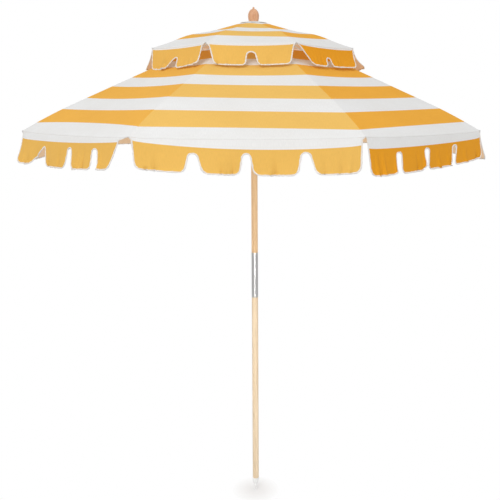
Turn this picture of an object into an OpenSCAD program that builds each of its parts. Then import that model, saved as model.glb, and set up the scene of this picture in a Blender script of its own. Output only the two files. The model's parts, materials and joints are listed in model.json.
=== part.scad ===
// Two-tier beach umbrella with a two-piece wooden pole.
// Origin at the tip of the ground spike, +Z up, millimetres. Shown open.

/* [Canopy] */
// Radius of the canopy's rim at the ribs
rim_r = 1000; // [950:10:1050]
// Height of the canopy's rim above the spike's tip
rim_z = 1820; // [1780:5:1860]
// Depth of the lower valance
valance_h = 120; // [90:5:140]
// Radius at the ribs of the hole in the lower canopy
vent_hole_r = 300; // [290:5:330]
// Radius of the vent canopy's rim at the ribs
vent_rim_r = 462; // [450:2:480]
// Height of the vent canopy's rim
vent_rim_z = 2164; // [2155:1:2180]
// Depth of the vent valance
vent_valance_h = 84; // [70:2:86]
// Thickness of the cloth with its hems
cloth_t = 1.2; // [0.8:0.1:1.6]
// Outward lean of both valances, in degrees
valance_lean = 9; // [4:1:12]

/* [Pole] */
// Radius of the wooden pole
pole_r = 15; // [14.6:0.1:15]
// Height where the sleeve starts
sleeve_z0 = 1009; // [1000:1:1020]
// Height where the sleeve ends
sleeve_z1 = 1228; // [1200:1:1228]
// Outside radius of the sleeve
sleeve_r = 15.3; // [15.2:0.1:15.6]
// Height of the spike, where the wood starts
spike_h = 69; // [60:1:80]

/* [Frame] */
// Height of the crown's hinge ring
hinge_z = 2274; // [2272:1:2275]
// Radius of the ring wire's circle, in the crown and in the runner
hinge_r = 28; // [28:0.5:29]
// Radius at which the rib starts to bend down
knee_r = 800; // [780:5:820]
// Radius of the rib's wire
rib_r = 2.5; // [2:0.25:2.5]
// Distance along the rib from its hinge to the stretcher's pivot
arm_a = 470; // [460:5:480]
// Radius of a stretcher's tube
stretcher_r = 3; // [2.5:0.25:3]

/* [Finial] */
// Radius of the flat cap under the finial
cap_r = 61; // [55:1:63]
// Height of the finial above the cap
finial_h = 65; // [60:1:70]
// Largest radius of the finial
finial_r = 25; // [22:0.5:27]

/* [Hidden] */
gores = 8;
step = 360 / gores;
half_step = step / 2;
fine = 96;

cap_z0 = 2287;
cap_t = 7;
finial_z = cap_z0 + cap_t;
cloth_drop = 5;                  // the cloth's top face above the rib's centre line
rib_tip_z = rim_z - cloth_drop;
knee_slope = 24.55;              // slope of the straight part of a rib, in degrees
knee_z = hinge_z - (knee_r - hinge_r) * tan(knee_slope);
bend_run = rim_r - knee_r;
bend_drop = knee_z - rib_tip_z;
bend_chord = norm([bend_run, bend_drop]);
bend_angle = 2 * (atan2(bend_drop, bend_run) - knee_slope);
bend_radius = bend_chord / (2 * sin(bend_angle / 2));
bend_overlap = 0.1;              // how far the bent end runs into the straight part, in degrees
tip_back = 0.5;                  // degrees of bend left off, so that the rib ends inside the hem
bend_wire_r = rib_r - 0.2;

pivot_below = 9;                 // the stretcher's pivot below the rib's centre line
pivot_angle = knee_slope + asin(pivot_below / arm_a);
pivot_x = hinge_r + arm_a * cos(pivot_angle);
pivot_z = hinge_z - arm_a * sin(pivot_angle);
runner_z = hinge_z - 2 * arm_a * sin(pivot_angle);

ring_wire_r = 1.5;
ring_gap = 0.06;                 // running clearance of an eye on its wire
blade_t = 3;
slot_w = 3.7;
eye_r = 5;
hub_r = 22.2;
tooth_r = 34;
tenon_r = 13.9;
sleeve_bore_r = 14;
sleeve_mid = (sleeve_z0 + sleeve_z1) / 2;
joint_gap = 0.2;

arm_root_x = 82;                 // where a vent arm is clipped on its rib
arm_tip_z = vent_rim_z - 7.2;
arm_wire_r = 2;
riser_x = 255;

tabs = 4;
vent_tabs = 2;

// Azimuth of rib i and of the gore after it
function rib_azimuth(i) = half_step + (i - 1) * step;
function gore_azimuth(i) = i * step;

// Height of a rib's centre line at radius r
function rib_z(r) = r <= knee_r
    ? hinge_z - (r - hinge_r) * tan(knee_slope)
    : knee_z + bend_radius * (cos(knee_slope + bend_turn(r)) - cos(knee_slope));
// How far the rib has bent by radius r, in degrees
function bend_turn(r) = asin(sin(knee_slope) + (r - knee_r) / bend_radius) - knee_slope;
// Height of a vent arm's centre line at radius r
function arm_z(r) = rib_z(arm_root_x) + (arm_tip_z - rib_z(arm_root_x)) * (r - arm_root_x)
    / (vent_rim_r - arm_root_x);

// A rod between two points of the plane of a rib, given as [radius, height]
module rod(p, q, r) {
    d = q - p;
    translate([p[0], 0, p[1]])
        rotate([0, atan2(d[0], d[1]), 0])
            cylinder(r = r, h = norm(d), $fn = 32);
}

// A disc across the plane of a rib, centred on it
module cheek(p, r, t, y = 0) {
    translate([p[0], y, p[1]])
        rotate([90, 0, 0])
            cylinder(r = r, h = t, center = true, $fn = 48);
}

// A wire ring of radius hinge_r at height z
module ring_wire(z, r) {
    translate([0, 0, z])
        rotate_extrude($fn = fine)
            translate([hinge_r, 0])
                circle(r = r, $fn = 32);
}

// The groove that a ring wire lies in, open to the outside
module ring_groove(z, r) {
    ring_wire(z, r);
    translate([0, 0, z - r])
        difference() {
            cylinder(r = tooth_r + 1, h = 2 * r, $fn = fine);
            translate([0, 0, -1])
                cylinder(r = hinge_r, h = 2 * r + 2, $fn = fine);
        }
}

// The radial slots that the eyes of ribs or stretchers swing in
module eye_slots(z0, h) {
    for (i = [1:gores])
        rotate([0, 0, rib_azimuth(i)])
            translate([hub_r, -slot_w / 2, z0])
                cube([tooth_r - hub_r + 1, slot_w, h]);
}

module lower_pole() {
    color("burlywood")
        difference() {
            union() {
                translate([0, 0, spike_h])
                    cylinder(r = pole_r, h = sleeve_z0 - spike_h, $fn = fine);
                translate([0, 0, sleeve_z0 - 1])
                    cylinder(r = tenon_r, h = sleeve_mid - sleeve_z0 + 0.5, $fn = fine);
            }
            translate([0, 0, spike_h - 1])
                cylinder(r = 9.05, h = 32, $fn = 64);
            rivet_holes();
        }
}

module ground_spike() {
    color("whitesmoke") {
        rotate_extrude($fn = fine)
            polygon([
                [0, 0], [1.6, 0.4], [2.6, 2], [9.6, 34], [13.2, 46], [14.6, 54],
                [14.8, 60], [14.8, spike_h - joint_gap / 4], [0, spike_h - joint_gap / 4]
            ]);
        translate([0, 0, spike_h - 1])
            cylinder(r = 9, h = 31, $fn = 64);
    }
}

module joint_sleeve() {
    color("silver")
        translate([0, 0, sleeve_z0])
            difference() {
                cylinder(r = sleeve_r, h = sleeve_z1 - sleeve_z0, $fn = fine);
                translate([0, 0, -1])
                    cylinder(r = sleeve_bore_r, h = sleeve_z1 - sleeve_z0 + 2, $fn = fine);
                translate([0, 0, -sleeve_z0])
                    rivet_holes();
            }
}

rivet_r = 1.5;
rivet_heights = [sleeve_z0 + 30, sleeve_z0 + 80];

module rivet_holes() {
    for (z = rivet_heights)
        translate([0, 7, z])
            rotate([-90, 0, 0])
                cylinder(r = rivet_r, h = 12, $fn = 32);
}

module sleeve_rivets() {
    color("silver")
        for (z = rivet_heights)
            translate([0, 7, z])
                rotate([-90, 0, 0]) {
                    cylinder(r = rivet_r, h = sleeve_r - 7 + 0.2, $fn = 32);
                    translate([0, 0, sleeve_r - 7])
                        cylinder(r = 3, h = 0.9, $fn = 32);
                }
}

module upper_pole() {
    color("tan")
        difference() {
            union() {
                translate([0, 0, sleeve_mid + 0.5])
                    cylinder(r = tenon_r, h = sleeve_z1 - sleeve_mid + 1, $fn = fine);
                translate([0, 0, sleeve_z1 + joint_gap])
                    cylinder(r = pole_r, h = cap_z0 - sleeve_z1 - joint_gap, $fn = fine);
            }
            translate([0, 0, cap_z0 - 36])
                cylinder(r = 4.05, h = 40, $fn = 48);
            crown_screw_hole();
        }
}

crown_z0 = 2244;
crown_z1 = 2284;

// The cross screw's hole through the crown's collar and into the pole
module crown_screw_hole() {
    translate([0, 8, crown_z0 + 7])
        rotate([-90, 0, 0])
            cylinder(r = 1.5, h = 16, $fn = 32);
}

module crown() {
    color("ivory")
        difference() {
            union() {
                translate([0, 0, crown_z0])
                    cylinder(r = hub_r, h = crown_z1 - crown_z0, $fn = fine);
                translate([0, 0, hinge_z - 10])
                    cylinder(r = tooth_r, h = crown_z1 - hinge_z + 10, $fn = fine);
            }
            translate([0, 0, crown_z0 - 1])
                cylinder(r = pole_r + 0.02, h = crown_z1 - crown_z0 + 2, $fn = fine);
            ring_groove(hinge_z, ring_wire_r + 0.02);
            eye_slots(hinge_z - 11, crown_z1 - hinge_z + 12);
            crown_screw_hole();
        }
}

module crown_ring() {
    color("silver") {
        ring_wire(hinge_z, ring_wire_r);
        translate([0, 9, crown_z0 + 7])
            rotate([-90, 0, 0]) {
                cylinder(r = 1.45, h = hub_r - 9 + 0.5, $fn = 32);
                translate([0, 0, hub_r - 9])
                    cylinder(r = 3.2, h = 1.6, $fn = 32);
            }
    }
}

module top_cap() {
    color("white")
        difference() {
            translate([0, 0, cap_z0])
                rotate_extrude($fn = fine)
                    polygon([
                        [0, 0], [cap_r - 2, 0], [cap_r, 2], [cap_r, cap_t - 3],
                        [cap_r - 1, cap_t - 1], [cap_r - 4, cap_t], [0, cap_t]
                    ]);
            translate([0, 0, cap_z0 - 1])
                cylinder(r = 4.05, h = cap_t + 2, $fn = 48);
        }
}

// Outline of the finial: a full belly on a narrower foot, drawn in to a neck
function finial_out(t) = t < 0.45 ? sqrt(1 - pow((0.45 - t) / 0.83, 2))
    : sqrt(1 - pow((t - 0.45) / 0.44, 2.3));
finial_belly = [for (t = [0:0.03:0.87]) [finial_r * finial_out(t), finial_h * t]];

module finial() {
    color("peru")
        translate([0, 0, finial_z]) {
            rotate_extrude($fn = fine)
                polygon(concat(
                    [[0, 0]],
                    finial_belly,
                    [[4.2, finial_h * 0.9], [4.6, finial_h * 0.94], [3, finial_h * 0.985],
                     [0, finial_h]]
                ));
            translate([0, 0, -38])
                cylinder(r = 4, h = 39, $fn = 48);
        }
}

runner_low = 52;                 // how far the runner reaches below its ring
runner_high = 10;
screw_drop = 34;                 // the thumb screw below the runner's ring

module runner() {
    color("ivory")
        difference() {
            union() {
                translate([0, 0, runner_z - runner_low])
                    cylinder(r = hub_r, h = runner_low + runner_high, $fn = fine);
                translate([0, 0, runner_z - runner_high])
                    cylinder(r = tooth_r, h = 2 * runner_high, $fn = fine);
                translate([0, -19, runner_z - screw_drop])
                    rotate([90, 0, 0])
                        cylinder(r = 8, h = 9, $fn = 48);
            }
            translate([0, 0, runner_z - runner_low - 1])
                cylinder(r = pole_r + 0.5, h = runner_low + runner_high + 2, $fn = fine);
            ring_groove(runner_z, ring_wire_r + 0.02);
            eye_slots(runner_z - runner_high - 1, 2 * runner_high + 2);
            translate([0, -12, runner_z - screw_drop])
                rotate([90, 0, 0])
                    cylinder(r = 3.06, h = 18, $fn = 48);
        }
}

module runner_ring() {
    color("silver")
        ring_wire(runner_z, ring_wire_r);
}

module thumb_screw() {
    color("silver")
        translate([0, 0, runner_z - screw_drop])
            rotate([90, 0, 0]) {
                translate([0, 0, pole_r + 0.7])
                    cylinder(r = 3, h = 19, $fn = 48);
                translate([0, 0, 28.5])
                    cylinder(r = 6, h = 5, $fn = 48);
                translate([-11, -1.5, 32])
                    cube([22, 3, 9]);
            }
}

// Straight wire, bent end, hinge eye, stretcher bracket and tip ball
module rib() {
    eye = [hinge_r, hinge_z];
    out = [cos(knee_slope), -sin(knee_slope)];
    up = [sin(knee_slope), cos(knee_slope)];
    pivot = [pivot_x, pivot_z];
    foot = pivot + up * pivot_below;
    color("gainsboro")
        difference() {
            union() {
                cheek(eye, eye_r, blade_t);
                translate([eye[0], -blade_t / 2, eye[1]])
                    rotate([0, knee_slope, 0])
                        translate([2, 0, -2.4])
                            cube([20, blade_t, 4.8]);
                rod(eye + out * 18, [knee_r, knee_z], rib_r);
                rib_bend();
                translate([rim_r - 6, 0, rib_z(rim_r - 6)])
                    sphere(r = 2.8, $fn = 48);
                rod(foot - out * 9, foot + out * 9, 3.3);
                for (y = [-1, 1])
                    bracket_cheek(pivot, up, y * (blade_t / 2 + 1.2));
                cheek(pivot, ring_wire_r, blade_t + 5);
            }
            cheek(eye, ring_wire_r + ring_gap, blade_t + 2);
        }
}

// One of the two plates that hold the stretcher's pin
module bracket_cheek(pivot, up, y) {
    cheek(pivot, eye_r, 1.8, y);
    translate([pivot[0], y - 0.9, pivot[1]])
        rotate([0, knee_slope, 0])
            translate([-eye_r, 0, 0])
                cube([2 * eye_r, 1.8, pivot_below]);
}

// The outer part of a rib, an arc in the rib's plane
module rib_bend() {
    arc_centre = [knee_r - bend_radius * sin(knee_slope), knee_z - bend_radius * cos(knee_slope)];
    translate([arc_centre[0], 0, arc_centre[1]])
        rotate([90, 0, 0])
            rotate([0, 0, 90 - knee_slope - bend_angle + tip_back])
                rotate_extrude(angle = bend_angle - tip_back + bend_overlap, $fn = 720)
                    translate([bend_radius, 0])
                        circle(r = bend_wire_r, $fn = 32);
}

// A short arm clipped on the rib, its riser, and its tip ball
module vent_arm() {
    root = [arm_root_x, rib_z(arm_root_x)];
    tip = [vent_rim_r - 3, arm_tip_z];
    foot = [riser_x, rib_z(riser_x)];
    head = [riser_x + 20, arm_z(riser_x + 20)];
    along = [cos(knee_slope), -sin(knee_slope)];
    color("gainsboro")
        difference() {
            union() {
                rod(root - along * 8, root + along * 8, 4.4);
                rod(foot - along * 8, foot + along * 8, 4.4);
                rod(root, tip, arm_wire_r);
                rod(foot, head, arm_wire_r);
                translate([tip[0], 0, tip[1]])
                    sphere(r = 3.2, $fn = 48);
            }
            rod(root - along * 60, root + along * 320, rib_r + 0.02);
        }
}

module stretcher() {
    pivot = [pivot_x, pivot_z];
    eye = [hinge_r, runner_z];
    along = (eye - pivot) / norm(eye - pivot);
    slope = atan2(-along[1], -along[0]);
    color("gainsboro")
        difference() {
            union() {
                for (p = [pivot, eye])
                    cheek(p, eye_r - 0.4, blade_t);
                rod(pivot + along * 14, eye - along * 14, stretcher_r);
                stretcher_end(pivot, slope);
                stretcher_end(eye - along * 18, slope);
            }
            for (p = [pivot, eye])
                cheek(p, ring_wire_r + ring_gap, blade_t + 2);
        }
}

// The flattened end of a stretcher's tube, from p towards the runner
module stretcher_end(p, slope) {
    translate([p[0], -blade_t / 2, p[1]])
        rotate([0, 180 - slope, 0])
            translate([0, 0, -2.4])
                cube([18, blade_t, 4.8]);
}

// A wedge between the ribs on both sides of a gore
module wedge(z0, z1, r) {
    a = half_step - 0.012;
    translate([0, 0, z0])
        linear_extrude(height = z1 - z0)
            polygon([[0.3, 0], [r, -r * tan(a)], [r, r * tan(a)]]);
}

// A cloth between two ribs: points are [radius at the rib, height of the top face]
module gore(points) {
    c = cos(half_step);
    width = 2 * rim_r;
    intersection() {
        translate([0, width / 2, 0])
            rotate([90, 0, 0])
                linear_extrude(height = width)
                    polygon(concat(
                        [for (p = points) [p[0] * c, p[1]]],
                        [for (k = [len(points) - 1:-1:0]) [points[k][0] * c, points[k][1] - cloth_t]]
                    ));
        wedge(1600, 2400, rim_r * 1.1);
    }
}

module canopy_panel() {
    color("goldenrod") {
        gore(concat(
            [[vent_hole_r, rib_z(vent_hole_r) + cloth_drop]],
            [for (k = [0:8]) [knee_r + bend_run * k / 8, rib_z(knee_r + bend_run * k / 8) + cloth_drop]]
        ));
        gore([[hinge_r + 6, cap_z0 - 1], [cap_r + 2, cap_z0 - 1.2], [vent_rim_r, vent_rim_z]]);
    }
}

// A hanging valance: its length is cut into tabs by notches that start at the depth uncut
module hanging(top_r, top_z, h, tab_count, uncut, notch_w) {
    c = cos(half_step);
    pitch = 2 * top_r * sin(half_step) / tab_count;
    x0 = top_r * c;
    lean = tan(valance_lean) * h;
    difference() {
        intersection() {
            translate([0, rim_r, 0])
                rotate([90, 0, 0])
                    linear_extrude(height = 2 * rim_r)
                        polygon([
                            [x0, top_z], [x0 + lean, top_z - h], [x0 + lean + cloth_t, top_z - h],
                            [x0 + cloth_t, top_z]
                        ]);
            wedge(top_z - h - 1, top_z + 1, rim_r * 1.1);
        }
        for (k = [1:tab_count - 1])
            translate([x0 - 20, (k - tab_count / 2) * pitch, top_z - uncut])
                notch(h - uncut + 1, notch_w);
    }
}

// A notch that opens downwards, round at its top
module notch(h, w) {
    rotate([90, 0, 90])
        linear_extrude(height = 80) {
            circle(r = w / 2, $fn = 32);
            polygon([[-w / 2, 0], [w / 2, 0], [w, -h], [-w, -h]]);
        }
}

module valance() {
    color("gold")
        hanging(rim_r + 0.5, rim_z - cloth_t - 1, valance_h, tabs, valance_h * 0.5, 22);
}

module vent_valance() {
    color("gold")
        hanging(vent_rim_r + 0.5, vent_rim_z - cloth_t - 1, vent_valance_h, vent_tabs,
            vent_valance_h * 0.42, 26);
}

lower_pole();
ground_spike();
joint_sleeve();
sleeve_rivets();
upper_pole();
crown();
crown_ring();
top_cap();
finial();
runner();
runner_ring();
thumb_screw();
for (i = [1:gores]) {
    rotate([0, 0, rib_azimuth(i)]) rib();
    rotate([0, 0, rib_azimuth(i)]) vent_arm();
    rotate([0, 0, rib_azimuth(i)]) stretcher();
    rotate([0, 0, gore_azimuth(i)]) canopy_panel();
    rotate([0, 0, gore_azimuth(i)]) valance();
    rotate([0, 0, gore_azimuth(i)]) vent_valance();
}
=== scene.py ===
"""Looks of the two-tier beach umbrella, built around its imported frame. Metres, +Z up."""
import json
import math
import random

import bmesh
import bpy
import numpy as np
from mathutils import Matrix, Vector


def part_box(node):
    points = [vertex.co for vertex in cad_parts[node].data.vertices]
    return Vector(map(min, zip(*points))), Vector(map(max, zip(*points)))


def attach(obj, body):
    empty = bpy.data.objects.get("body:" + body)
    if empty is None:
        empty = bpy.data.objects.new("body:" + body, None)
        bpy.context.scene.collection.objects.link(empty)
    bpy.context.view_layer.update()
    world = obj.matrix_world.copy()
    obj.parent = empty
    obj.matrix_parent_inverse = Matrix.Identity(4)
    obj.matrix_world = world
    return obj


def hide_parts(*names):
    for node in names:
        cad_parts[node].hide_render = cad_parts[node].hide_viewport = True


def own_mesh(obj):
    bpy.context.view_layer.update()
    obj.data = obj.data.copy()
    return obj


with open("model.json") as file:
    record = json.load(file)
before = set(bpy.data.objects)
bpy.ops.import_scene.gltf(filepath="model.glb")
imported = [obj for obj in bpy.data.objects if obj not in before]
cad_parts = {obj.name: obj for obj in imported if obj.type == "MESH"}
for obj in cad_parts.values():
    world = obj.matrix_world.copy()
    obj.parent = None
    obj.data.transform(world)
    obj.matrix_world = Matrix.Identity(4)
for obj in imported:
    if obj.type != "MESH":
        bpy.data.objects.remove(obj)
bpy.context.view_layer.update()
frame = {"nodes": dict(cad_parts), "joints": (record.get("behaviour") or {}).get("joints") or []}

# ---------------------------------------------------------------- sizes, from the frame
JOINTS = {j["name"]: j for j in frame["joints"]}
GORES = sum(name.startswith("panel_") for name in JOINTS)
STEP = 2 * math.pi / GORES
COS, SIN = math.cos(STEP / 2), math.sin(STEP / 2)


def joint_place(name):
    """Radius and height of a joint, on its own azimuth."""
    x, y, z = JOINTS[name]["pos_m"]
    return math.hypot(x, y), z


HINGE_R, HINGE_Z = joint_place("rib_1_fold")
RIM_X, RIM_Z = joint_place("valance_1_hang")
VENT_X, VENT_Z = joint_place("vent_valance_1_hang")
CLOTH_LIFT = 0.0022                      # the cloth's top face above its valance's hinge line
RIM_R, RIM_Z = RIM_X / COS, RIM_Z + CLOTH_LIFT
VENT_R, VENT_Z = VENT_X / COS, VENT_Z + CLOTH_LIFT
CAP_LO, CAP_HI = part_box("top_cap")
CAP_R = (CAP_HI[0] - CAP_LO[0]) / 2
FINIAL_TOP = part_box("finial")[1][2]
FINIAL_R = 0.025

HOLE_R = 0.300                           # hole in the lower canopy, at the ribs
KNEE_R = 0.800                           # where the ribs start to bend down
KNEE_SLOPE = math.tan(math.radians(24.55))
CLOTH_RISE = 0.005                       # cloth above the rib's centre line
CLOTH_T = 0.0009                         # thickness of the cloth
CAP_GAP = 0.0012                         # cloth below the cap's underside
VENT_START_R = 0.034                     # where the vent canopy begins, under the cap
SWELL, SWELL_R, SWELL_WIDTH = 0.011, 0.305, 0.075    # the vent canopy's rise over its arms
SEAM_HALF = 0.005                        # half the width of the tape under each seam
SEAM_BELOW = 0.0011                      # the tape's top face below the gores' top face
SEAM_T = 0.0006
TAPE_SHORT = 0.005                       # where the lower tapes stop, short of the rim

# ---------------------------------------------------------------- colours, linear
# The first and last yellows below are the one yellow cloth painted lit and shaded: a painted sheen
# and a painted shade.
LIT_YELLOW = (0.830, 0.505, 0.125)
YELLOW = (0.860, 0.385, 0.020)
SHADED_YELLOW = (0.770, 0.265, 0.016)
WHITE = (0.800, 0.795, 0.780)
# The valances' white is the canopy's white painted lighter: painted light, for the less light on
# their upright faces.
LIT_HEM_WHITE = (0.840, 0.835, 0.820)
# The cloth's underside, in the beige it shows in shade: partly its own colour and partly painted
# shade.
UNDER = (0.600, 0.440, 0.290)
UNDER_WHITE = (0.700, 0.600, 0.510)
TRIM = (0.900, 0.845, 0.790)
CAP_WHITE = (0.930, 0.900, 0.860)

# How deep the yellow is on gores 1 to 8 and on their valances, from 0 to 1: painted light and shade,
# palest at the front as a painted sheen and deepest on the right as painted shade
LIGHT_TONES = (0.42, 0.35, 0.35, 0.35, 0.38, 0.0, 0.56, 0.50)
HEM_LIGHT_TONES = (0.42, 0.35, 0.35, 0.30, 0.12, 0.07, 0.78, 0.7)

# How a gore's stripes lie against its rim: (middle, slope, bow) towards the rim, in metres, and
# the distances from the rim where that has faded out and where it starts to
STRIPE_LIE = {
    5: (-0.024, 0.0, 0.024, 0.20, 0.06),
    6: (0.0, 0.0095, 0.0115, 0.50, 0.35),
    7: (-0.002, -0.0125, 0.0095, 0.50, 0.35),
}


# ---------------------------------------------------------------- meshes
def turn(points, azimuth):
    """Points in a gore's or rib's own frame (x outwards), turned to its azimuth."""
    p = np.asarray(points, float)
    c, s = math.cos(azimuth), math.sin(azimuth)
    return np.stack([c * p[..., 0] - s * p[..., 1], s * p[..., 0] + c * p[..., 1], p[..., 2]], -1)


def make_mesh(name, points, faces, materials, uv=None):
    """A smooth mesh object with an optional UV for each point, in metres of cloth."""
    mesh = bpy.data.meshes.new(name)
    mesh.from_pydata([tuple(p) for p in points], [], [tuple(f) for f in faces])
    mesh.validate()
    for material in materials:
        mesh.materials.append(material)
    if uv is not None:
        layer = mesh.uv_layers.new(name="cloth")
        for loop in mesh.loops:
            layer.data[loop.index].uv = uv[loop.vertex_index]
    mesh.polygons.foreach_set("use_smooth", [True] * len(mesh.polygons))
    mesh.update()
    obj = bpy.data.objects.new(name, mesh)
    bpy.context.scene.collection.objects.link(obj)
    return obj


def grid_faces(rows, columns, first=0):
    """Quads of a grid of points stored row after row."""
    return [
        (first + r * columns + c, first + r * columns + c + 1,
         first + (r + 1) * columns + c + 1, first + (r + 1) * columns + c)
        for r in range(rows - 1) for c in range(columns - 1)
    ]


def tube_faces(rings, sides):
    """Faces of a tube of points stored ring after ring, closed at both ends."""
    faces = [
        (j * sides + k, j * sides + (k + 1) % sides,
         (j + 1) * sides + (k + 1) % sides, (j + 1) * sides + k)
        for j in range(rings - 1) for k in range(sides)
    ]
    faces.append(tuple(range(sides))[::-1])
    faces.append(tuple((rings - 1) * sides + k for k in range(sides)))
    return faces


def unit(vectors):
    """The vectors, one in each row, made one long."""
    return vectors / np.linalg.norm(vectors, axis=1)[:, None]


def thicken(obj, thickness):
    """Gives a cloth its thickness, inwards, with the underside's material inside."""
    solid = obj.modifiers.new("thickness", "SOLIDIFY")
    solid.thickness = thickness
    solid.offset = -1
    solid.material_offset = 1
    solid.material_offset_rim = 0
    normals = obj.modifiers.new("normals", "WEIGHTED_NORMAL")
    normals.weight = 90


def lathe(name, profile, material, segments=64):
    """A turned piece on the pole's axis; profile is [(radius, height)], from bottom to top."""
    ring = [2 * math.pi * k / segments for k in range(segments)]
    points = [(r * math.cos(a), r * math.sin(a), z) for r, z in profile for a in ring]
    return make_mesh(name, points, tube_faces(len(profile), segments), [material])


# ---------------------------------------------------------------- materials
# A Mix node's sockets go by number, because its sockets for each data type share their names
MIX_FACTOR, MIX_A, MIX_B, MIX_RESULT = 0, 6, 7, 2


class Nodes:
    """A material's node tree, with short calls for what the materials below need."""

    def __init__(self, name, roughness, metallic=0.0, sheen=0.0, specular=0.5):
        self.material = bpy.data.materials.new(name)
        self.material.use_nodes = True
        self.tree = self.material.node_tree
        self.shader = self.tree.nodes["Principled BSDF"]
        self.set(self.shader, "Roughness", roughness)
        self.set(self.shader, "Metallic", metallic)
        self.set(self.shader, "Sheen Weight", sheen)
        self.set(self.shader, "Specular IOR Level", specular)

    def set(self, node, socket, value):
        node.inputs[socket].default_value = value

    def link(self, a, a_socket, b, b_socket):
        """Links output a_socket of a to input b_socket of b; each is a name or a number."""
        self.tree.links.new(a.outputs[a_socket], b.inputs[b_socket])

    def add(self, kind, **settings):
        node = self.tree.nodes.new(kind)
        for key, value in settings.items():
            setattr(node, key, value)
        return node

    def coords(self, scale, kind="Object"):
        """Object or UV coordinates, scaled."""
        place = self.add("ShaderNodeTexCoord")
        mapping = self.add("ShaderNodeMapping")
        self.set(mapping, "Scale", scale)
        self.link(place, kind, mapping, "Vector")
        return mapping

    def noise(self, mapping, scale, detail=4.0, roughness=0.6):
        node = self.add("ShaderNodeTexNoise")
        self.set(node, "Scale", scale)
        self.set(node, "Detail", detail)
        self.set(node, "Roughness", roughness)
        self.link(mapping, "Vector", node, "Vector")
        return node

    def wave(self, mapping, scale, direction, distortion=0.0):
        node = self.add("ShaderNodeTexWave", bands_direction=direction)
        self.set(node, "Scale", scale)
        self.set(node, "Distortion", distortion)
        self.link(mapping, "Vector", node, "Vector")
        return node

    def ramp(self, source, socket, stops, constant=False):
        """A colour ramp; stops are [(position, colour)]."""
        node = self.add("ShaderNodeValToRGB")
        node.color_ramp.interpolation = "CONSTANT" if constant else "LINEAR"
        while len(node.color_ramp.elements) < len(stops):
            node.color_ramp.elements.new(0.5)
        for element, (position, colour) in zip(node.color_ramp.elements, stops):
            element.position = position
            element.color = (*colour, 1.0)
        self.link(source, socket, node, "Fac")
        return node

    def mix(self, a, a_socket, b, b_socket, factor, mode="MIX"):
        """A mix of two colours; its result is output MIX_RESULT."""
        node = self.add("ShaderNodeMix", data_type="RGBA", blend_type=mode)
        self.set(node, MIX_FACTOR, factor)
        self.link(a, a_socket, node, MIX_A)
        self.link(b, b_socket, node, MIX_B)
        return node

    def bump(self, source, socket, strength, distance, before=None):
        """A bump, added to the bump before it if there is one."""
        node = self.add("ShaderNodeBump")
        self.set(node, "Strength", strength)
        self.set(node, "Distance", distance)
        self.link(source, socket, node, "Height")
        if before is not None:
            self.link(before, "Normal", node, "Normal")
        return node


def shaded(colour, share):
    """A colour made darker or lighter, no lighter than white."""
    return tuple(min(1, share * v) for v in colour)


def add_weave(n, mapping):
    """Plain canvas weave and soft unevenness, as bump."""
    warp = n.wave(mapping, 260, "X", 0.4)
    weft = n.wave(mapping, 260, "Y", 0.4)
    weave = n.mix(warp, "Color", weft, "Color", 0.5)
    uneven = n.noise(mapping, 9, 3)
    coarse = n.bump(uneven, "Fac", 0.25, 0.004)
    fine = n.bump(weave, MIX_RESULT, 0.18, 0.0006, coarse)
    n.link(fine, "Normal", n.shader, "Normal")


def striped_cloth(name, edges, colours, reach, glow=0.0):
    """Woven cloth in white and yellow, changing at the distances in edges along the UV's second axis.

    The distances go up to reach. The glow is painted light: an emission that stands in for the
    daylight coming through thin cloth on its shaded side.
    """
    white, pale, middle, deep = colours
    n = Nodes(name, 0.88, sheen=0.03, specular=0.08)
    mapping = n.coords((1, 1, 1), "UV")
    split = n.add("ShaderNodeSeparateXYZ")
    n.link(mapping, "Vector", split, "Vector")
    scaled = n.add("ShaderNodeMath", operation="DIVIDE")
    n.set(scaled, 1, reach)
    n.link(split, "Y", scaled, 0)
    stops = [(0.0, (0, 0, 0))]
    stops += [(edge / reach, ((k + 1) % 2,) * 3) for k, edge in enumerate(edges)]
    stripes = n.ramp(scaled, "Value", stops, constant=True)
    # Painted light and shade: the piece's stored tone moves its yellow from the paler, sheen-lit
    # yellow to the deeper, shaded one.
    tone = n.add("ShaderNodeAttribute", attribute_name="tone")
    yellow = n.ramp(tone, "Fac", [(0.0, pale), (0.7, middle), (1.0, deep)])
    dyed = n.add("ShaderNodeMix", data_type="RGBA")
    n.link(stripes, "Color", dyed, MIX_FACTOR)
    n.set(dyed, MIX_A, (*white, 1))
    n.link(yellow, "Color", dyed, MIX_B)
    threads = n.noise(n.coords((500, 60, 1), "UV"), 1.0, 2)
    tint = n.ramp(threads, "Fac", [(0.3, (0.93, 0.93, 0.93)), (0.7, (1.0, 1.0, 1.0))])
    clouds = n.noise(mapping, 4, 3)
    broad = n.ramp(clouds, "Fac", [(0.35, (0.965, 0.955, 0.94)), (0.65, (1.0, 1.0, 1.0))])
    both = n.mix(tint, "Color", broad, "Color", 1.0, "MULTIPLY")
    final = n.mix(dyed, MIX_RESULT, both, MIX_RESULT, 1.0, "MULTIPLY")
    n.link(final, MIX_RESULT, n.shader, "Base Color")
    # Painted light: the cloth glows in its own colour, standing in for daylight through it.
    if glow:
        n.link(final, MIX_RESULT, n.shader, "Emission Color")
        n.set(n.shader, "Emission Strength", glow)
    add_weave(n, mapping)
    return n.material


def trim_material():
    """Fluffy cream edge binding."""
    n = Nodes("trim_cream", 0.95, sheen=0.5, specular=0.15)
    mapping = n.coords((1, 1, 1))
    tufts = n.noise(mapping, 700, 3, 0.7)
    colour = n.ramp(tufts, "Fac", [(0.25, shaded(TRIM, 0.8)), (0.7, TRIM)])
    n.link(colour, "Color", n.shader, "Base Color")
    n.link(n.bump(tufts, "Fac", 0.9, 0.0015), "Normal", n.shader, "Normal")
    return n.material


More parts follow.
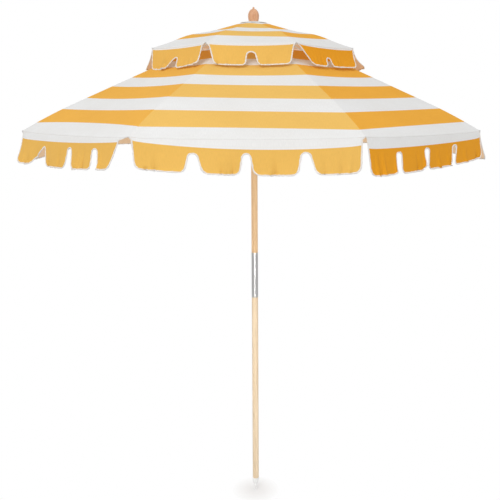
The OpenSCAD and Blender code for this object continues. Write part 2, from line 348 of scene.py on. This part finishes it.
def wood_material(name, pale, dark, roughness):
    """Straight-grained wood, its grain along Z."""
    n = Nodes(name, roughness, specular=0.35)
    grain = n.noise(n.coords((90, 90, 2.2)), 1.0, 6, 0.65)
    pores = n.noise(n.coords((420, 420, 9)), 1.0, 3, 0.6)
    colour = n.ramp(grain, "Fac", [(0.30, dark), (0.58, pale), (0.85, shaded(pale, 1.06))])
    dots = n.ramp(pores, "Fac", [(0.30, (0.78,) * 3), (0.45, (1.0, 1.0, 1.0))])
    both = n.mix(colour, "Color", dots, "Color", 1.0, "MULTIPLY")
    n.link(both, MIX_RESULT, n.shader, "Base Color")
    n.link(n.bump(pores, "Fac", 0.25, 0.0006), "Normal", n.shader, "Normal")
    return n.material


def metal_material(name, colour, roughness):
    """Drawn metal with fine scratches along Z."""
    n = Nodes(name, roughness, metallic=1.0)
    lines = n.noise(n.coords((900, 900, 12)), 1.0, 3)
    shade = n.ramp(lines, "Fac", [(0.3, shaded(colour, 0.82)), (0.7, colour)])
    rough = n.add("ShaderNodeMapRange")
    n.set(rough, "To Min", roughness * 0.8)
    n.set(rough, "To Max", roughness * 1.3)
    n.link(lines, "Fac", rough, "Value")
    n.link(rough, "Result", n.shader, "Roughness")
    n.link(shade, "Color", n.shader, "Base Color")
    n.link(n.bump(lines, "Fac", 0.12, 0.0003), "Normal", n.shader, "Normal")
    return n.material


def plastic_material(name, colour, roughness):
    """Moulded plastic with a faint grain and scuffs."""
    n = Nodes(name, roughness, specular=0.45)
    mapping = n.coords((1, 1, 1))
    scuffs = n.noise(mapping, 60, 5, 0.7)
    shade = n.ramp(scuffs, "Fac", [(0.3, shaded(colour, 0.93)), (0.6, colour)])
    n.link(shade, "Color", n.shader, "Base Color")
    n.link(n.bump(n.noise(mapping, 900, 2), "Fac", 0.1, 0.0003), "Normal", n.shader, "Normal")
    return n.material


# Where the stripes change, up from the rim, in metres of cloth
STRIPES = (0.056, 0.165, 0.267, 0.378, 0.464, 0.560, 0.625)
VENT_STRIPES = (0.098, 0.175, 0.280, 0.370)
WHITE_BAND = 0.041                       # the valances' stripe; their UV is shifted to suit
TOP = (WHITE, LIT_YELLOW, YELLOW, SHADED_YELLOW)
INSIDE = (UNDER_WHITE, UNDER, UNDER, UNDER)
PAINTED_GLOW = 0.55                              # painted light: an emission that stands in for daylight through the cloth, seen from below
cloth_main = striped_cloth("cloth_main", STRIPES, TOP, 1.0)
cloth_main_under = striped_cloth("cloth_main_under", STRIPES, INSIDE, 1.0, PAINTED_GLOW)
cloth_vent = striped_cloth("cloth_vent", VENT_STRIPES, TOP, 1.0)
cloth_vent_under = striped_cloth("cloth_vent_under", VENT_STRIPES, INSIDE, 1.0, PAINTED_GLOW)
cloth_hem = striped_cloth("cloth_hem", (WHITE_BAND,), (LIT_HEM_WHITE, *TOP[1:]), 0.2)
cloth_hem_under = striped_cloth("cloth_hem_under", (WHITE_BAND,), INSIDE, 0.2, PAINTED_GLOW)
trim = trim_material()


# ---------------------------------------------------------------- the cloth's shape
def knee_height():
    """Height of the lower canopy's top face where the ribs start to bend down."""
    return HINGE_Z - (KNEE_R - HINGE_R) * KNEE_SLOPE + CLOTH_RISE


def main_height(r):
    """Height of the lower canopy's top face over a rib, at radius r."""
    if r <= KNEE_R:
        return HINGE_Z - (r - HINGE_R) * KNEE_SLOPE + CLOTH_RISE
    bend = (knee_height() - RIM_Z - (RIM_R - KNEE_R) * KNEE_SLOPE) / (RIM_R - KNEE_R) ** 2
    return knee_height() - (r - KNEE_R) * KNEE_SLOPE - bend * (r - KNEE_R) ** 2


def vent_height(r):
    """Height of the vent canopy's top face over a rib: flat under the cap, then down to its rim."""
    if r <= CAP_R:
        return CAP_LO[2] - CAP_GAP
    share = (r - CAP_R) / (VENT_R - CAP_R)
    swell = SWELL * math.exp(-((r - SWELL_R) / SWELL_WIDTH) ** 2)
    return CAP_LO[2] - CAP_GAP + (VENT_Z - CAP_LO[2] + CAP_GAP) * share + swell


def run_along(height, radii):
    """Distance along a gore's middle from each radius to the last one."""
    points = [(COS * r, height(r)) for r in radii]
    lengths = [math.dist(a, b) for a, b in zip(points, points[1:])]
    return [sum(lengths[k:]) for k in range(len(radii))]


RIM_SAG = 0.005                          # how far the rim hangs between two ribs
HOLE_SAG = 0.003                         # the same at the hole in the lower canopy
VENT_RIM_SAG = 0.003
MIDDLE_SAG = 0.002                       # how much further the cloth hangs half-way down a gore
VENT_MIDDLE_SAG = 0.003
ROLL_R = 0.008                           # radius with which the cloth turns down over the rim
JOIN_OUT, JOIN_DOWN = 0.0048, 0.0056     # where the valance goes on from the turned-down rim
JOIN_DEPTH = 0.004                       # part of a valance's depth that the rim's turn takes up
MAIN_COLUMNS, VENT_COLUMNS = 25, 19      # points across a gore of each tier
SEAM_COLUMNS, TAB_COLUMNS = 9, 22        # points across a tape and a tab


def main_sag(r):
    """How far the lower canopy hangs between two ribs, at radius r."""
    share = min(1.0, (r - HOLE_R) / (RIM_R - HOLE_R))
    return HOLE_SAG + (RIM_SAG - HOLE_SAG) * share + MIDDLE_SAG * math.sin(math.pi * share)


def vent_sag(r):
    """How far the vent canopy hangs between two arms, at radius r."""
    if r <= CAP_R:
        return 0.0
    share = min(1.0, (r - CAP_R) / (VENT_R - CAP_R))
    return VENT_RIM_SAG * share + VENT_MIDDLE_SAG * math.sin(math.pi * share)


def gore_point(r, u, height, sag):
    """A point of a gore's top face, in the gore's own frame; u is -1 at one rib and 1 at the next."""
    return (COS * r, u * SIN * r, height(r) - sag(r) * (1 - u * u))


def taper(u):
    """How much of the rim's turn is left at u: it comes to a point at the ribs."""
    return 1 - 0.7 * abs(u) ** 16


def rim_roll(height, sag, rim_r, lean, u, steps=7):
    """Points where the cloth turns down over the rim, with the distance run past it."""
    back = 0.01                          # how far inside the rim the cloth's slope is taken
    slope = math.atan2(height(rim_r - back) - height(rim_r), back * COS)
    x, y, z = gore_point(rim_r, u, height, sag)
    end = math.pi / 2 - lean
    radius = ROLL_R * taper(u)
    for k in range(1, steps + 1):
        a = slope + (end - slope) * k / steps
        yield (
            x + radius * (math.sin(a) - math.sin(slope)),
            y,
            z - radius * (math.cos(slope) - math.cos(a)),
        ), ROLL_R * (a - slope)


def gore_sheet(name, index, height, sag, radii, columns, materials, lean):
    """One gore between two ribs, turned down over its rim."""
    run = run_along(height, radii)
    across = [2 * k / (columns - 1) - 1 for k in range(columns)]
    points = [gore_point(r, u, height, sag) for r in radii for u in across]
    uv = [
        (u * SIN * r, distance + lie(index, u, distance))
        for r, distance in zip(radii, run) for u in across
    ]
    rolled = [list(rim_roll(height, sag, radii[-1], lean, u)) for u in across]
    for row in zip(*rolled):
        points += [p for p, _ in row]
        uv += [(u * SIN * radii[-1], -past) for (_, past), u in zip(row, across)]
    faces = [f[::-1] for f in grid_faces(len(radii) + len(rolled[0]), columns)]
    obj = make_mesh(name, turn(points, index * STEP), faces, materials, uv)
    give_light_tone(obj, index)
    thicken(obj, CLOTH_T)
    return obj


def seam_tape(name, index, height, sag, radii, materials):
    """The tape under the seam of two gores, over rib number index."""
    run = run_along(height, radii)
    points, uv = [], []
    for r, distance in zip(radii, run):
        for t in np.linspace(-SEAM_HALF, SEAM_HALF, SEAM_COLUMNS):
            u = 1 - abs(t) / (SIN * r)
            x, y, z = gore_point(r, -u if t > 0 else u, height, sag)
            gore = index if t > 0 else index - 1
            points.append(turn((x, y, z - SEAM_BELOW), gore * STEP))
            uv.append((t, distance))
    faces = [f[::-1] for f in grid_faces(len(radii), SEAM_COLUMNS)]
    obj = make_mesh(name, points, faces, materials, uv)
    give_light_tone(obj, index)
    thicken(obj, SEAM_T)
    return obj


def lie(index, u, distance):
    """How far a gore's stripes are moved towards the rim, at a distance from it."""
    middle, slope, bow, gone, full = STRIPE_LIE.get(index, (0, 0, 0, 1, 0))
    fade = max(0.0, min(1.0, (gone - distance) / (gone - full)))
    return fade * (middle + slope * u + bow * u * u)


def give_light_tone(obj, index, light_tones=LIGHT_TONES):
    """Stores how deep the piece's yellow is, for its material: painted light and shade."""
    tone = obj.data.attributes.new("tone", "FLOAT", "POINT")
    tone.data.foreach_set("value", [light_tones[(index - 1) % GORES]] * len(obj.data.vertices))


def curve3(values, u):
    """The value at u from its values at -1, 0 and 1."""
    left, mid, right = values
    return mid + (right - left) / 2 * u + ((left + right) / 2 - mid) * u * u


def plain_cut(rng, tabs, depth, white, gap):
    """A gore's cut where nothing else is known: evenly spaced notches, each a little different."""
    return {
        "depth": (depth * rng.uniform(0.93, 0.98), depth, depth * rng.uniform(0.93, 0.98)),
        "white": (white - 0.003, white, white - 0.003),
        "notches": [
            (gap + rng.uniform(-0.002, 0.005), rng.uniform(0.024, 0.031),
             rng.uniform(0.024, 0.034), rng.uniform(0.028, 0.042), rng.uniform(-0.006, 0.006))
            for _ in range(tabs - 1)
        ],
        "sides": ((0.012, rng.uniform(0.030, 0.045)), (0.010, rng.uniform(0.016, 0.024))),
        "curls": [rng.uniform(-0.04, 0.14) for _ in range(tabs + 1)],
    }


class Valance:
    """A length of valance hanging from the rim of one gore, cut into tabs.

    A cut holds, in metres:
    - depth and white: the depth and that of the white band, at one rib, half-way and at the next;
    - notches: for each its top below the white band, its width there, how far it opens to its left
      and to its right at the bottom, and how far it is moved along the rim;
    - sides: for each end how far the cloth stands back from the rib, at the rim and at the bottom;
    - curls: how far the cloth turns outwards at each tab's sides, as a share of its depth.
    """

    ROW_COUNT = 16                       # evenly spaced rows, before those at notches and corners
    NOTCH_ROWS = (0, 0.0006, 0.0022, 0.005, 0.0085, 0.012)
    CORNER_ROWS = 6
    ROW_GAP = 0.0004                     # rows closer than this are made one
    NOTCH_ROUND = 0.012                  # how far down a notch's round top goes
    END_ROUND = 0.008                    # and the same for the ends, at the ribs
    PUCKER_ONSET = 2.6                   # puckers grow with this power of the depth
    BOTTOM_STEPS = 20                    # steps of the cut edge along a tab's bottom
    LEAST_STEP = 0.0012                  # shorter steps of the cut edge are left out
    TRIM_SIDES = 8                       # points round the binding
    TRIM_OUT, TRIM_THICK = 0.0027, 0.0018    # half the binding's width and thickness

    def __init__(self, rim_r, rim_z, rim_sag, lean, corner, cut, seed):
        rng = random.Random(seed)
        self.half = rim_r * SIN
        self.rim_x, self.rim_z, self.rim_sag = rim_r * COS, rim_z, rim_sag
        depth, white = ([v - JOIN_DEPTH for v in cut[key]] for key in ("depth", "white"))
        cut = dict(cut, depth=depth, white=white)
        self.cut, self.lean, self.corner = cut, lean, corner
        self.depth = max(cut["depth"])
        self.tabs = len(cut["notches"]) + 1
        self.pitch = 2 * self.half / self.tabs
        self.notches = []
        self.edges = [-self.half + t * self.pitch for t in range(self.tabs + 1)]
        for k, (gap, narrow, left, right, shift) in enumerate(cut["notches"]):
            self.edges[k + 1] += shift
            u = (k + 1) * 2 / self.tabs - 1
            top = (curve3(cut["white"], u) + gap) * self.depth / curve3(cut["depth"], u)
            self.notches.append({"top": top, "narrow": narrow, "left": left, "right": right})
        self.puckers = []
        vary = rng.uniform
        for t in range(self.tabs):
            for _ in range(rng.choice((2, 3))):
                middle = -self.half + (t + vary(0.2, 0.8)) * self.pitch
                size = vary(0.09, 0.19) * (self.depth - 0.03) * rng.choice((-1, 1))
                self.puckers.append((middle, vary(0.003, 0.006), size))

    def rows(self):
        """Depths of the rows, closer together at the notches' tops and the tabs' corners."""
        d = set(np.linspace(0, self.depth, self.ROW_COUNT).round(5))
        for notch in self.notches:
            d |= {round(notch["top"] + below, 5) for below in self.NOTCH_ROWS}
        for k in range(1, self.CORNER_ROWS + 1):
            angle = math.pi / 2 * k / self.CORNER_ROWS
            d.add(round(self.depth - self.corner * (1 - math.sin(angle)), 5))
        kept = []
        for value in sorted(d):
            if not kept or value - kept[-1] > self.ROW_GAP:
                kept.append(value)
        return [v for v in kept if v <= self.depth]

    def corner_cut(self, d):
        """How much a tab has drawn in at its rounded bottom corners."""
        over = d - (self.depth - self.corner)
        if over <= 0:
            return 0.0
        return self.corner * (1 - math.sqrt(max(0.0, 1 - (over / self.corner) ** 2)))

    def side(self, place, d, to_left):
        """From the line between two tabs to the cloth on its left or right, d below the rim.

        Places 0 and tabs are the two ribs, the others are the notches.
        """
        if place in (0, self.tabs):
            near, far = self.cut["sides"][0 if place == 0 else 1]
            near *= min(1.0, d / self.END_ROUND) ** 0.5
            return near + (far - near) * d / self.depth + self.corner_cut(d)
        notch = self.notches[place - 1]
        below = d - notch["top"]
        if below <= 0:
            return 0.0
        arch = math.sqrt(max(0.0, 1 - (max(0.0, self.NOTCH_ROUND - below) / self.NOTCH_ROUND) ** 2))
        far = notch["left" if to_left else "right"]
        grow = (far - notch["narrow"] / 2) * below / (self.depth - notch["top"])
        return notch["narrow"] / 2 * arch + grow + self.corner_cut(d)

    def point(self, s, d):
        """Where a point of the cloth hangs, s across and d down from the rim."""
        u = max(-1.0, min(1.0, s / self.half))
        deep = d * curve3(self.cut["depth"], u) / self.depth
        place = (s + self.half) / self.pitch
        k = max(0, min(self.tabs - 1, int(place)))
        blend = max(0.0, min(1.0, place - k))
        curls = self.cut["curls"]
        curl = curls[k] * (1 - blend) + curls[k + 1] * blend
        share = max(0.0, d / self.depth)
        out = math.sin(self.lean) * deep + curl * share * deep
        for middle, width, size in self.puckers:
            out += size * share ** self.PUCKER_ONSET * math.exp(-((s - middle) / width) ** 2)
        drop = math.sqrt(max(0.0, deep ** 2 - (curl * share * deep) ** 2)) * math.cos(self.lean)
        return (
            self.rim_x + JOIN_OUT * taper(u) + out,
            s,
            self.rim_z - self.rim_sag * (1 - u * u) - JOIN_DOWN * taper(u) - drop,
        )

    def cloth(self, name, index, materials):
        """The valance's cloth, tab by tab."""
        rows = self.rows()
        points, uv, faces = [], [], []
        for t in range(self.tabs):
            first = len(points)
            for d in rows:
                left = self.edges[t] + self.side(t, d, False)
                right = self.edges[t + 1] - self.side(t + 1, d, True)
                for c in range(TAB_COLUMNS):
                    s = left + (right - left) * c / (TAB_COLUMNS - 1)
                    u = s / self.half
                    deep = d * curve3(self.cut["depth"], u) / self.depth
                    points.append(self.point(s, d))
                    uv.append((s, deep + WHITE_BAND - curve3(self.cut["white"], u)))
            faces += [f[::-1] for f in grid_faces(len(rows), TAB_COLUMNS, first)]
        obj = make_mesh(name, turn(points, index * STEP), faces, materials, uv)
        weld(obj)
        give_light_tone(obj, index, HEM_LIGHT_TONES)
        thicken(obj, CLOTH_T)
        return obj

    def outline(self):
        """The cut edge, from the rim at one rib to the rim at the next."""
        rows = self.rows()
        path = []
        for t in range(self.tabs):
            left_edge, right_edge = self.edges[t], self.edges[t + 1]
            start = 0.0 if t == 0 else self.notches[t - 1]["top"]
            end = 0.0 if t == self.tabs - 1 else self.notches[t]["top"]
            down = [d for d in rows if d >= start - 1e-6]
            up = [d for d in reversed(rows) if d >= end - 1e-6]
            left = left_edge + self.side(t, self.depth, False)
            right = right_edge - self.side(t + 1, self.depth, True)
            steps = self.BOTTOM_STEPS
            path += [(left_edge + self.side(t, d, False), d) for d in down]
            path += [(left + (right - left) * c / steps, self.depth) for c in range(1, steps)]
            path += [(right_edge - self.side(t + 1, d, True), d) for d in up]
        kept = [path[0]]
        for p in path[1:]:
            if math.dist(p, kept[-1]) > self.LEAST_STEP:
                kept.append(p)
        return kept

    def binding(self, name, index, material):
        """The fluffy binding along the cut edge: a flat tube that grips it."""
        path = self.outline()
        centre = np.array([self.point(s, d) for s, d in path])
        step = 0.002
        across = [np.subtract(self.point(s + step, d), self.point(s - step, d)) for s, d in path]
        down = [np.subtract(self.point(s, d + step), self.point(s, d - step)) for s, d in path]
        normal = unit(np.cross(across, down))
        along = unit(np.gradient(centre, axis=0))
        outward = unit(np.cross(normal, along))
        sides = self.TRIM_SIDES
        rng = np.random.default_rng(index + 10 * self.tabs)
        points = []
        for p, o, w in zip(centre, outward, normal):
            puff = 1 + 0.16 * rng.standard_normal()
            for k in range(sides):
                a = 2 * math.pi * k / sides
                fluff = puff + 0.10 * rng.standard_normal()
                wide, thick = self.TRIM_OUT * math.cos(a), self.TRIM_THICK * math.sin(a)
                points.append(p + fluff * (wide * o + thick * w))
        faces = tube_faces(len(path), sides)
        return make_mesh(name, turn(points, index * STEP), faces, [material])


def weld(obj):
    """Joins the tabs of a valance where they meet above the notches."""
    bm = bmesh.new()
    bm.from_mesh(obj.data)
    bmesh.ops.remove_doubles(bm, verts=bm.verts, dist=0.0002)
    bm.to_mesh(obj.data)
    bm.free()
    obj.data.polygons.foreach_set("use_smooth", [True] * len(obj.data.polygons))


def gather(obj):
    """Gives a piece of cloth its own copy of its mesh."""
    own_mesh(obj)


LEAN = math.radians(8)                   # how far the valances hang outwards
CORNER_R, VENT_CORNER_R = 0.020, 0.014   # radius of the tabs' bottom corners

# The valances that show, from the left (4) over the front (6) to the right (8)
LOWER_CUTS = {
    4: {
        "depth": (0.110, 0.120, 0.126), "white": (0.030, 0.034, 0.030),
        "notches": [(0.012, 0.028, 0.030, 0.034, 0), (0.013, 0.027, 0.026, 0.030, 0),
                    (0.040, 0.005, -0.006, -0.006, 0)],
        "sides": ((0.012, 0.036), (0.010, 0.018)), "curls": [0.06, 0.02, 0.06, -0.06, 0.0],
    },
    5: {
        "depth": (0.124, 0.121, 0.104), "white": (0.030, 0.027, 0.015),
        "notches": [(0.022, 0.014, 0.097, 0.020, 0.012), (0.019, 0.026, 0.014, 0.032, 0.017),
                    (0.021, 0.034, 0.014, 0.035, -0.003)],
        "sides": ((0.008, 0.010), (0.048, 0.090)), "curls": [0.18, -0.02, 0.10, 0.05, 0.12],
    },
    6: {
        "depth": (0.100, 0.118, 0.115), "white": (0.012, 0.035, 0.028),
        "notches": [(0.021, 0.027, 0.026, 0.034, 0.015), (0.014, 0.025, 0.022, 0.026, -0.003),
                    (0.011, 0.027, 0.026, 0.036, -0.002)],
        "sides": ((0.009, 0.022), (0.010, 0.015)), "curls": [0.06, 0.10, 0.02, 0.12, 0.04],
    },
    7: {
        "depth": (0.129, 0.124, 0.108), "white": (0.040, 0.036, 0.029),
        "notches": [(0.016, 0.033, 0.024, 0.008, -0.015), (0.011, 0.033, 0.026, 0.004, -0.025),
                    (0.011, 0.034, 0.036, -0.016, -0.020)],
        "sides": ((0.006, 0.012), (0.004, 0.002)), "curls": [0.0, 0.02, -0.03, 0.04, 0.0],
    },
    8: {
        "depth": (0.118, 0.120, 0.112), "white": (0.036, 0.034, 0.031),
        "notches": [(0.013, 0.026, 0.028, 0.032, 0), (0.012, 0.028, 0.026, 0.034, 0),
                    (0.014, 0.027, 0.030, 0.030, 0)],
        "sides": ((0.004, 0.008), (0.010, 0.020)), "curls": [0.15, 0.04, 0.10, 0.02, 0.08],
    },
}
VENT_CUTS = {
    4: {
        "depth": (0.088, 0.090, 0.088), "white": (0.008, 0.009, 0.008),
        "notches": [(0.036, 0.026, 0.030, 0.024, 0)],
        "sides": ((0.010, 0.020), (0.004, 0.010)), "curls": [0.10, 0.14, 0.20],
    },
    5: {
        "depth": (0.090, 0.090, 0.074), "white": (0.009, 0.010, 0.008),
        "notches": [(0.036, 0.020, 0.068, 0.010, 0.004)],
        "sides": ((0.003, 0.012), (0.016, 0.026)), "curls": [-0.02, 0.12, 0.10],
    },
    6: {
        "depth": (0.082, 0.086, 0.080), "white": (0.006, 0.009, 0.006),
        "notches": [(0.024, 0.032, 0.022, 0.030, 0)],
        "sides": ((0.013, 0.034), (0.010, 0.022)), "curls": [0.10, 0.16, 0.08],
    },
    7: {
        "depth": (0.078, 0.084, 0.084), "white": (0.005, 0.010, 0.010),
        "notches": [(0.038, 0.024, 0.012, 0.020, 0)],
        "sides": ((0.010, 0.080), (0.002, 0.004)), "curls": [0.12, 0.14, 0.18],
    },
    8: {
        "depth": (0.088, 0.090, 0.088), "white": (0.008, 0.009, 0.008),
        "notches": [(0.036, 0.026, 0.024, 0.030, 0)],
        "sides": ((0.004, 0.010), (0.010, 0.020)), "curls": [0.50, 0.16, 0.10],
    },
}

# The other valances: tabs, depth, depth of the white band, and from there to a notch's top
PLAIN_LOWER = (4, 0.104, 0.034, 0.012)
PLAIN_VENT = (2, 0.092, 0.009, 0.030)

# Radii of the gores' rows, the gores' lengths, and radii of the tapes' rows
main_radii = list(np.linspace(HOLE_R, RIM_R, 32))
slope_radii = list(np.linspace(CAP_R, VENT_R, 20))[1:]
vent_radii = [VENT_START_R, 0.048, CAP_R] + slope_radii
main_length = run_along(main_height, main_radii)[0]
vent_length = run_along(vent_height, vent_radii)[0]
tape_radii = [min(r, RIM_R - TAPE_SHORT) for r in main_radii]


def hang_valance(name, trim_name, index, shape, materials, body):
    """A valance with its binding, hung from its gore."""
    skirt = shape.cloth(name, index, materials)
    edge = shape.binding(trim_name, index, trim)
    for piece in (skirt, edge):
        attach(piece, body)
        gather(piece)
    return skirt


for i in range(1, GORES + 1):
    gore = gore_sheet(f"lower_gore_{i}", i, main_height, main_sag, main_radii, MAIN_COLUMNS,
                      [cloth_main, cloth_main_under], LEAN)
    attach(gore, f"panel_{i}")
    gather(gore)
    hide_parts(f"canopy_panel_{i}")

    vent = gore_sheet(f"vent_gore_{i}", i, vent_height, vent_sag, vent_radii, VENT_COLUMNS,
                      [cloth_vent, cloth_vent_under], LEAN)
    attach(vent, f"panel_{i}")
    gather(vent)

    cut = LOWER_CUTS.get(i) or plain_cut(random.Random(20 + i), *PLAIN_LOWER)
    shape = Valance(RIM_R, RIM_Z, RIM_SAG, LEAN, CORNER_R, cut, 40 + i)
    skirt = hang_valance(f"lower_valance_{i}", f"lower_trim_{i}", i, shape,
                         [cloth_hem, cloth_hem_under], f"valance_{i}_hem")
    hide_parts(f"valance_{i}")

    cut = VENT_CUTS.get(i) or plain_cut(random.Random(50 + i), *PLAIN_VENT)
    shape = Valance(VENT_R, VENT_Z, VENT_RIM_SAG, LEAN, VENT_CORNER_R, cut, 70 + i)
    skirt = hang_valance(f"vent_valance_cloth_{i}", f"vent_trim_{i}", i, shape,
                         [cloth_hem, cloth_hem_under], f"vent_valance_{i}_hem")
    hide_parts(f"vent_valance_{i}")

    tape = seam_tape(f"lower_seam_{i}", i, main_height, main_sag, tape_radii,
                     [cloth_main, cloth_main_under])
    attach(tape, f"rib_{i}_arm")
    tape = seam_tape(f"vent_seam_{i}", i, vent_height, vent_sag, slope_radii,
                     [cloth_vent, cloth_vent_under])
    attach(tape, f"rib_{i}_arm")


# ---------------------------------------------------------------- finial and cap
def finial_profile(base, top, radius):
    """A turned bud: a full belly on a narrower foot, drawn in to a neck, and a small tip knob."""
    height = top - base
    belly, neck, steps = 0.42, 0.882, 33    # shares of the height, and steps up to the neck
    knob = ((0.165, 0.90), (0.18, 0.93), (0.17, 0.96), (0.12, 0.985), (0.03, 1.0))
    profile = []
    for k in range(steps + 1):
        t = neck * k / steps
        if t < belly:
            r = math.sqrt(1 - ((belly - t) / 0.74) ** 2)
        else:
            r = math.sqrt(1 - ((t - belly) / 0.47) ** 1.8)
        profile.append((r * radius, base + t * height))
    return profile + [(share * radius, base + t * height) for share, t in knob]


wood_finial = wood_material("wood_finial", (0.74, 0.41, 0.23), (0.56, 0.27, 0.14), 0.34)
finial = lathe("finial_turned", finial_profile(CAP_HI[2], FINIAL_TOP, FINIAL_R), wood_finial)
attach(finial, "upper_pole_assembly")
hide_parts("finial")

cap_cloth = striped_cloth("cap_cloth", (1.0,), (CAP_WHITE, *TOP[1:]), 1.5)
ROUND = 0.001                            # radius of the cap's edge
cap_profile = [(0.003, CAP_LO[2]), (CAP_R - 0.003, CAP_LO[2])] + [
    (CAP_R - ROUND + ROUND * math.cos(a), CAP_LO[2] + ROUND + ROUND * math.sin(a))
    for a in np.linspace(-math.pi / 2, math.pi / 2, 9)
] + [(0.034, CAP_HI[2] - 0.0006), (0.026, CAP_HI[2]), (0.003, CAP_HI[2])]
cap = lathe("top_cap_cloth", cap_profile, cap_cloth)
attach(cap, "upper_pole_assembly")
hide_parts("top_cap")


# ---------------------------------------------------------------- CAD nodes
def dress(material, *names):
    """Gives CAD nodes a material in place of their packed one."""
    for name in names:
        mesh = frame["nodes"][name].data
        mesh.materials.clear()
        mesh.materials.append(material)


dress(wood_material("wood_lower", (0.885, 0.705, 0.485), (0.78, 0.58, 0.37), 0.50), "lower_pole")
dress(wood_material("wood_upper", (0.95, 0.67, 0.38), (0.82, 0.53, 0.28), 0.50), "upper_pole")
dress(metal_material("steel_sleeve", (0.66, 0.65, 0.64), 0.34), "joint_sleeve", "sleeve_rivets")
dress(metal_material("steel_wire", (0.55, 0.54, 0.52), 0.36),
      "crown_ring", "runner_ring", "thumb_screw")
dress(plastic_material("plastic_white", (0.95, 0.945, 0.93), 0.42), "ground_spike", "crown", "runner")
painted = plastic_material("paint_cream", (0.78, 0.76, 0.71), 0.36)
for i in range(1, GORES + 1):
    dress(painted, f"rib_{i}", f"vent_arm_{i}", f"stretcher_{i}")


# ---------------------------------------------------------------- stage, light and camera
def floor_material():
    """Pale floor that fades into the white surround away from the object."""
    n = Nodes("floor_pale", 0.9)
    n.set(n.shader, "Base Color", (0.9, 0.9, 0.9, 1))
    seen = n.add("ShaderNodeLightPath")
    strength = n.add("ShaderNodeMapRange")
    n.set(strength, "To Min", 0.60)
    n.set(strength, "To Max", 1.0)
    n.link(seen, "Is Camera Ray", strength, "Value")
    glow = n.add("ShaderNodeEmission")
    n.set(glow, "Color", (1, 1, 1, 1))
    n.link(strength, "Result", glow, "Strength")
    place = n.add("ShaderNodeTexCoord")
    far = n.add("ShaderNodeVectorMath", operation="LENGTH")
    n.link(place, "Object", far, 0)
    fade = n.add("ShaderNodeMapRange")
    n.set(fade, "From Min", 0.0)
    n.set(fade, "From Max", 0.12)
    n.link(far, "Value", fade, "Value")
    blend = n.add("ShaderNodeMixShader")
    n.link(fade, "Result", blend, 0)
    n.link(n.shader, 0, blend, 1)
    n.link(glow, 0, blend, 2)
    n.link(blend, 0, n.tree.nodes["Material Output"], 0)
    return n.material


FLOOR_HALF = 9.0
corners = [(x * FLOOR_HALF, y * FLOOR_HALF, 0) for x, y in ((-1, -1), (1, -1), (1, 1), (-1, 1))]
floor = make_mesh("floor", corners, [(0, 1, 2, 3)], [floor_material()])

world = bpy.data.worlds.new("studio")
bpy.context.scene.world = world
world.use_nodes = True
tree = world.node_tree
seen = tree.nodes["Background"]
seen.inputs["Color"].default_value = (1, 1, 1, 1)
seen.inputs["Strength"].default_value = 1.0
lit = tree.nodes.new("ShaderNodeBackground")
lit.inputs["Color"].default_value = (0.97, 0.98, 1.0, 1)
lit.inputs["Strength"].default_value = 0.76
ray = tree.nodes.new("ShaderNodeLightPath")
choose = tree.nodes.new("ShaderNodeMixShader")
tree.links.new(ray.outputs["Is Camera Ray"], choose.inputs[0])
tree.links.new(lit.outputs[0], choose.inputs[1])
tree.links.new(seen.outputs[0], choose.inputs[2])
tree.links.new(choose.outputs[0], tree.nodes["World Output"].inputs[0])


def soft_light(name, place, target, size, power, spread=180):
    """A large square lamp aimed at a point."""
    data = bpy.data.lights.new(name, "AREA")
    data.shape, data.size, data.energy = "SQUARE", size, power
    data.spread = math.radians(spread)
    lamp = bpy.data.objects.new(name, data)
    lamp.location = place
    away = lamp.location - Vector(target)
    lamp.rotation_euler = away.to_track_quat("Z", "Y").to_euler()
    bpy.context.scene.collection.objects.link(lamp)


# name, place, target, size in metres, power in watts, spread in degrees
soft_light("key", (-1.4, -4.2, 4.8), (0, 0, 1.9), 2.5, 92)
soft_light("side", (4.2, -2.0, 3.6), (0, 0, 1.9), 2.0, 14)
soft_light("low", (0.2, -4.0, 0.6), (0, 0, 0.9), 0.6, 1.6, 32)
soft_light("front", (0.0, -5.0, 1.9), (0, 0, 1.9), 2.5, 7)

TURN = math.radians(-0.44)
PITCH = math.radians(8.88)               # how far the camera looks down
camera_data = bpy.data.cameras.new("camera")
camera_data.lens = 46.9
camera_data.sensor_width = 36
camera_data.shift_x, camera_data.shift_y = -0.0505, -0.0831
camera = bpy.data.objects.new("camera", camera_data)
camera.location = (0.0747, -3.041, 1.915)
camera.rotation_euler = (math.pi / 2 - PITCH, 0, TURN)
bpy.context.scene.collection.objects.link(camera)
bpy.context.scene.camera = camera
bpy.context.scene.view_settings.view_transform = "Standard"
